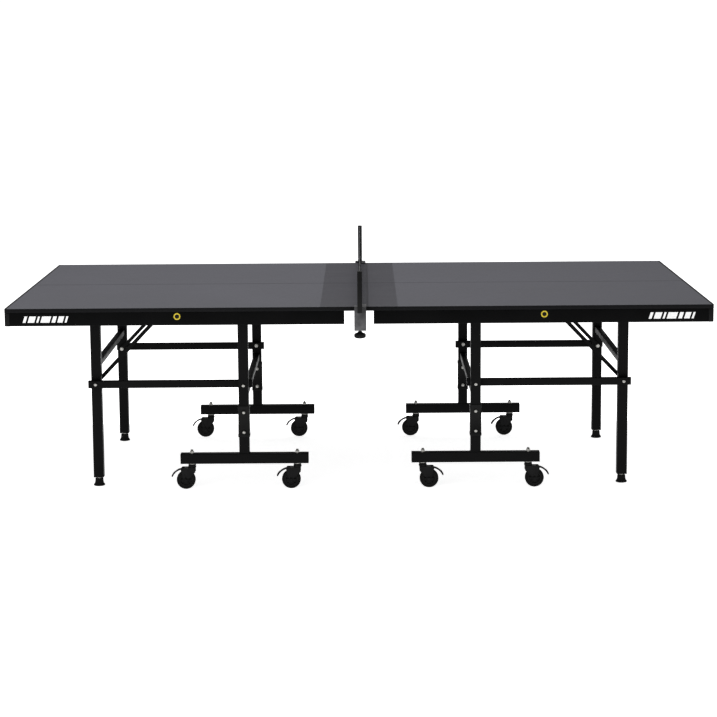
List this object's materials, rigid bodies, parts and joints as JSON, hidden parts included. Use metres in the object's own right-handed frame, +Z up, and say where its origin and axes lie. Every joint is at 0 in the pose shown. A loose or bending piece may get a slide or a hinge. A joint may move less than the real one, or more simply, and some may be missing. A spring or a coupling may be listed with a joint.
{
  "type": "ping pong table",
  "caption": "Folding table-tennis table in two rolling halves, with tipping tops, folding end legs, wheeled T-frames and a clamp-on net.",
  "frame": {"origin": "on the floor, under the middle of the playing surface", "axes": "+X along the length of the playing surface, +Y across it along the net, +Z up"},
  "size_m": [2.74, 1.854, 0.9155],
  "materials": {
    "playing_board": "charcoal painted fibreboard, satin",
    "black_steel": "black powder coat, satin",
    "caster_metal": "black pressed steel",
    "black_plastic": "moulded, fine texture",
    "zinc_steel": "bright zinc plate",
    "wheel_rubber": "black rubber tread on a nylon core",
    "foot_rubber": "black moulded rubber",
    "net_mesh": "knotted mesh with a woven top tape"
  },
  "bodies": {
    "left_base": {"left_t_bases": "black_steel", "left_uprights": "black_steel", "left_base_caps": "black_plastic", "left_base_hardware": "zinc_steel"},
    "left_top": {"left_panel": "playing_board", "left_apron_frame": "black_steel", "left_apron_plugs": "black_plastic", "left_cross_rails": "black_steel", "left_hinge_brackets": "black_steel"},
    "left_links": {"left_link_bars": "black_steel"},
    "left_legs": {"left_leg_frame": "black_steel", "left_leg_bolts": "zinc_steel"},
    "left_stay_pair": {"left_stays": "black_steel"},
    "right_base": {"right_t_bases": "black_steel", "right_uprights": "black_steel", "right_base_caps": "black_plastic", "right_base_hardware": "zinc_steel"},
    "right_top": {"right_panel": "playing_board", "right_apron_frame": "black_steel", "right_apron_plugs": "black_plastic", "right_cross_rails": "black_steel", "right_hinge_brackets": "black_steel", "net_brackets": "black_steel"},
    "right_links": {"right_link_bars": "black_steel"},
    "right_legs": {"right_leg_frame": "black_steel", "right_leg_bolts": "zinc_steel"},
    "right_stay_pair": {"right_stays": "black_steel"},
    "net_set": {"net": "net_mesh", "net_posts": "black_steel"},
    "near_clamp_jaw": {"net_near_jaw": "black_plastic"},
    "far_clamp_jaw": {"net_far_jaw": "black_plastic"},
    "left_near_levelling_foot": {"left_near_foot": "foot_rubber"},
    "left_far_levelling_foot": {"left_far_foot": "foot_rubber"},
    "right_near_levelling_foot": {"right_near_foot": "foot_rubber"},
    "right_far_levelling_foot": {"right_far_foot": "foot_rubber"},
    "left_near_inner_caster": {"left_near_inner_fork": "caster_metal"},
    "left_near_inner_caster_wheel": {"left_near_inner_wheel": "wheel_rubber"},
    "left_near_inner_caster_brake": {"left_near_inner_brake": "black_plastic"},
    "left_near_outer_caster": {"left_near_outer_fork": "caster_metal"},
    "left_near_outer_caster_wheel": {"left_near_outer_wheel": "wheel_rubber"},
    "left_near_outer_caster_brake": {"left_near_outer_brake": "black_plastic"},
    "left_far_inner_caster": {"left_far_inner_fork": "caster_metal"},
    "left_far_inner_caster_wheel": {"left_far_inner_wheel": "wheel_rubber"},
    "left_far_inner_caster_brake": {"left_far_inner_brake": "black_plastic"},
    "left_far_outer_caster": {"left_far_outer_fork": "caster_metal"},
    "left_far_outer_caster_wheel": {"left_far_outer_wheel": "wheel_rubber"},
    "left_far_outer_caster_brake": {"left_far_outer_brake": "black_plastic"},
    "right_near_inner_caster": {"right_near_inner_fork": "caster_metal"},
    "right_near_inner_caster_wheel": {"right_near_inner_wheel": "wheel_rubber"},
    "right_near_inner_caster_brake": {"right_near_inner_brake": "black_plastic"},
    "right_near_outer_caster": {"right_near_outer_fork": "caster_metal"},
    "right_near_outer_caster_wheel": {"right_near_outer_wheel": "wheel_rubber"},
    "right_near_outer_caster_brake": {"right_near_outer_brake": "black_plastic"},
    "right_far_inner_caster": {"right_far_inner_fork": "caster_metal"},
    "right_far_inner_caster_wheel": {"right_far_inner_wheel": "wheel_rubber"},
    "right_far_inner_caster_brake": {"right_far_inner_brake": "black_plastic"},
    "right_far_outer_caster": {"right_far_outer_fork": "caster_metal"},
    "right_far_outer_caster_wheel": {"right_far_outer_wheel": "wheel_rubber"},
    "right_far_outer_caster_brake": {"right_far_outer_brake": "black_plastic"}
  },
  "joints": [
    {"name": "right_half_roll", "type": "slide", "parent": "left_base", "child": "right_base", "axis": [1, 0, 0], "range_m": [0, 0.6]},
    {"name": "left_top_fold", "type": "hinge", "parent": "left_base", "child": "left_top", "pos_m": [-0.462, 0, 0.706], "axis": [0, 1, 0], "range_deg": [0, 90]},
    {"name": "right_top_fold", "type": "hinge", "parent": "right_base", "child": "right_top", "pos_m": [0.462, 0, 0.706], "axis": [0, -1, 0], "range_deg": [0, 90]},
    {"name": "left_link_swing", "type": "hinge", "parent": "left_base", "child": "left_links", "pos_m": [-0.462, 0, 0.42], "axis": [0, 1, 0], "range_deg": [0, 90]},
    {"name": "left_leg_fold", "type": "hinge", "parent": "left_top", "child": "left_legs", "pos_m": [-1.056, 0, 0.706], "axis": [0, 1, 0], "range_deg": [-90, 0]},
    {"name": "left_stay_swing", "type": "hinge", "parent": "left_legs", "child": "left_stay_pair", "pos_m": [-1.056, 0, 0.42], "axis": [0, 1, 0], "range_deg": [0, 133.01]},
    {"name": "right_link_swing", "type": "hinge", "parent": "right_base", "child": "right_links", "pos_m": [0.462, 0, 0.42], "axis": [0, -1, 0], "range_deg": [0, 90]},
    {"name": "right_leg_fold", "type": "hinge", "parent": "right_top", "child": "right_legs", "pos_m": [1.056, 0, 0.706], "axis": [0, -1, 0], "range_deg": [-90, 0]},
    {"name": "right_stay_swing", "type": "hinge", "parent": "right_legs", "child": "right_stay_pair", "pos_m": [1.056, 0, 0.42], "axis": [0, -1, 0], "range_deg": [0, 133.01]},
    {"name": "net_fold", "type": "hinge", "parent": "right_top", "child": "net_set", "pos_m": [0.0035, 0, 0.771], "axis": [0, -1, 0], "range_deg": [-90, 0]},
    {"name": "near_clamp_screw", "type": "slide", "parent": "right_top", "child": "near_clamp_jaw", "axis": [0, 0, -1], "range_m": [0, 0.008]},
    {"name": "far_clamp_screw", "type": "slide", "parent": "right_top", "child": "far_clamp_jaw", "axis": [0, 0, -1], "range_m": [0, 0.008]},
    {"name": "left_near_foot_turn", "type": "hinge", "parent": "left_legs", "child": "left_near_levelling_foot", "pos_m": [-1.056, -0.47, 0.03], "axis": [0, 0, 1], "continuous": true},
    {"name": "left_far_foot_turn", "type": "hinge", "parent": "left_legs", "child": "left_far_levelling_foot", "pos_m": [-1.056, 0.47, 0.03], "axis": [0, 0, 1], "continuous": true},
    {"name": "right_near_foot_turn", "type": "hinge", "parent": "right_legs", "child": "right_near_levelling_foot", "pos_m": [1.056, -0.47, 0.03], "axis": [0, 0, 1], "continuous": true},
    {"name": "right_far_foot_turn", "type": "hinge", "parent": "right_legs", "child": "right_far_levelling_foot", "pos_m": [1.056, 0.47, 0.03], "axis": [0, 0, 1], "continuous": true},
    {"name": "left_near_inner_swivel", "type": "hinge", "parent": "left_base", "child": "left_near_inner_caster", "pos_m": [-0.251, -0.545, 0.09], "axis": [0, 0, 1], "continuous": true},
    {"name": "left_near_inner_roll", "type": "hinge", "parent": "left_near_inner_caster", "child": "left_near_inner_caster_wheel", "pos_m": [-0.276, -0.545, 0.0375], "axis": [0, 1, 0], "continuous": true},
    {"name": "left_near_inner_brake_press", "type": "hinge", "parent": "left_near_inner_caster", "child": "left_near_inner_caster_brake", "pos_m": [-0.291, -0.545, 0.08], "axis": [0, -1, 0], "range_deg": [0, 12]},
    {"name": "left_near_outer_swivel", "type": "hinge", "parent": "left_base", "child": "left_near_outer_caster", "pos_m": [-0.673, -0.545, 0.09], "axis": [0, 0, 1], "continuous": true},
    {"name": "left_near_outer_roll", "type": "hinge", "parent": "left_near_outer_caster", "child": "left_near_outer_caster_wheel", "pos_m": [-0.698, -0.545, 0.0375], "axis": [0, 1, 0], "continuous": true},
    {"name": "left_near_outer_brake_press", "type": "hinge", "parent": "left_near_outer_caster", "child": "left_near_outer_caster_brake", "pos_m": [-0.713, -0.545, 0.08], "axis": [0, -1, 0], "range_deg": [0, 12]},
    {"name": "left_far_inner_swivel", "type": "hinge", "parent": "left_base", "child": "left_far_inner_caster", "pos_m": [-0.251, 0.545, 0.09], "axis": [0, 0, 1], "continuous": true},
    {"name": "left_far_inner_roll", "type": "hinge", "parent": "left_far_inner_caster", "child": "left_far_inner_caster_wheel", "pos_m": [-0.276, 0.545, 0.0375], "axis": [0, 1, 0], "continuous": true},
    {"name": "left_far_inner_brake_press", "type": "hinge", "parent": "left_far_inner_caster", "child": "left_far_inner_caster_brake", "pos_m": [-0.291, 0.545, 0.08], "axis": [0, -1, 0], "range_deg": [0, 12]},
    {"name": "left_far_outer_swivel", "type": "hinge", "parent": "left_base", "child": "left_far_outer_caster", "pos_m": [-0.673, 0.545, 0.09], "axis": [0, 0, 1], "continuous": true},
    {"name": "left_far_outer_roll", "type": "hinge", "parent": "left_far_outer_caster", "child": "left_far_outer_caster_wheel", "pos_m": [-0.698, 0.545, 0.0375], "axis": [0, 1, 0], "continuous": true},
    {"name": "left_far_outer_brake_press", "type": "hinge", "parent": "left_far_outer_caster", "child": "left_far_outer_caster_brake", "pos_m": [-0.713, 0.545, 0.08], "axis": [0, -1, 0], "range_deg": [0, 12]},
    {"name": "right_near_inner_swivel", "type": "hinge", "parent": "right_base", "child": "right_near_inner_caster", "pos_m": [0.251, -0.545, 0.09], "axis": [0, 0, 1], "continuous": true},
    {"name": "right_near_inner_roll", "type": "hinge", "parent": "right_near_inner_caster", "child": "right_near_inner_caster_wheel", "pos_m": [0.276, -0.545, 0.0375], "axis": [0, 1, 0], "continuous": true},
    {"name": "right_near_inner_brake_press", "type": "hinge", "parent": "right_near_inner_caster", "child": "right_near_inner_caster_brake", "pos_m": [0.291, -0.545, 0.08], "axis": [0, 1, 0], "range_deg": [0, 12]},
    {"name": "right_near_outer_swivel", "type": "hinge", "parent": "right_base", "child": "right_near_outer_caster", "pos_m": [0.673, -0.545, 0.09], "axis": [0, 0, 1], "continuous": true},
    {"name": "right_near_outer_roll", "type": "hinge", "parent": "right_near_outer_caster", "child": "right_near_outer_caster_wheel", "pos_m": [0.698, -0.545, 0.0375], "axis": [0, 1, 0], "continuous": true},
    {"name": "right_near_outer_brake_press", "type": "hinge", "parent": "right_near_outer_caster", "child": "right_near_outer_caster_brake", "pos_m": [0.713, -0.545, 0.08], "axis": [0, 1, 0], "range_deg": [0, 12]},
    {"name": "right_far_inner_swivel", "type": "hinge", "parent": "right_base", "child": "right_far_inner_caster", "pos_m": [0.251, 0.545, 0.09], "axis": [0, 0, 1], "continuous": true},
    {"name": "right_far_inner_roll", "type": "hinge", "parent": "right_far_inner_caster", "child": "right_far_inner_caster_wheel", "pos_m": [0.226, 0.545, 0.0375], "axis": [0, 1, 0], "continuous": true},
    {"name": "right_far_inner_brake_press", "type": "hinge", "parent": "right_far_inner_caster", "child": "right_far_inner_caster_brake", "pos_m": [0.211, 0.545, 0.08], "axis": [0, -1, 0], "range_deg": [0, 12]},
    {"name": "right_far_outer_swivel", "type": "hinge", "parent": "right_base", "child": "right_far_outer_caster", "pos_m": [0.673, 0.545, 0.09], "axis": [0, 0, 1], "continuous": true},
    {"name": "right_far_outer_roll", "type": "hinge", "parent": "right_far_outer_caster", "child": "right_far_outer_caster_wheel", "pos_m": [0.648, 0.545, 0.0375], "axis": [0, 1, 0], "continuous": true},
    {"name": "right_far_outer_brake_press", "type": "hinge", "parent": "right_far_outer_caster", "child": "right_far_outer_caster_brake", "pos_m": [0.633, 0.545, 0.08], "axis": [0, -1, 0], "range_deg": [0, 12]}
  ],
  "couplings": [
    {"joint": "left_link_swing", "follows": "left_top_fold", "ratio": 1},
    {"joint": "left_leg_fold", "follows": "left_top_fold", "ratio": -1},
    {"joint": "left_stay_swing", "follows": "left_top_fold", "ratio": 1.4778},
    {"joint": "right_link_swing", "follows": "right_top_fold", "ratio": 1},
    {"joint": "right_leg_fold", "follows": "right_top_fold", "ratio": -1},
    {"joint": "right_stay_swing", "follows": "right_top_fold", "ratio": 1.4778},
    {"joint": "net_fold", "follows": "right_top_fold", "ratio": -1}
  ]
}
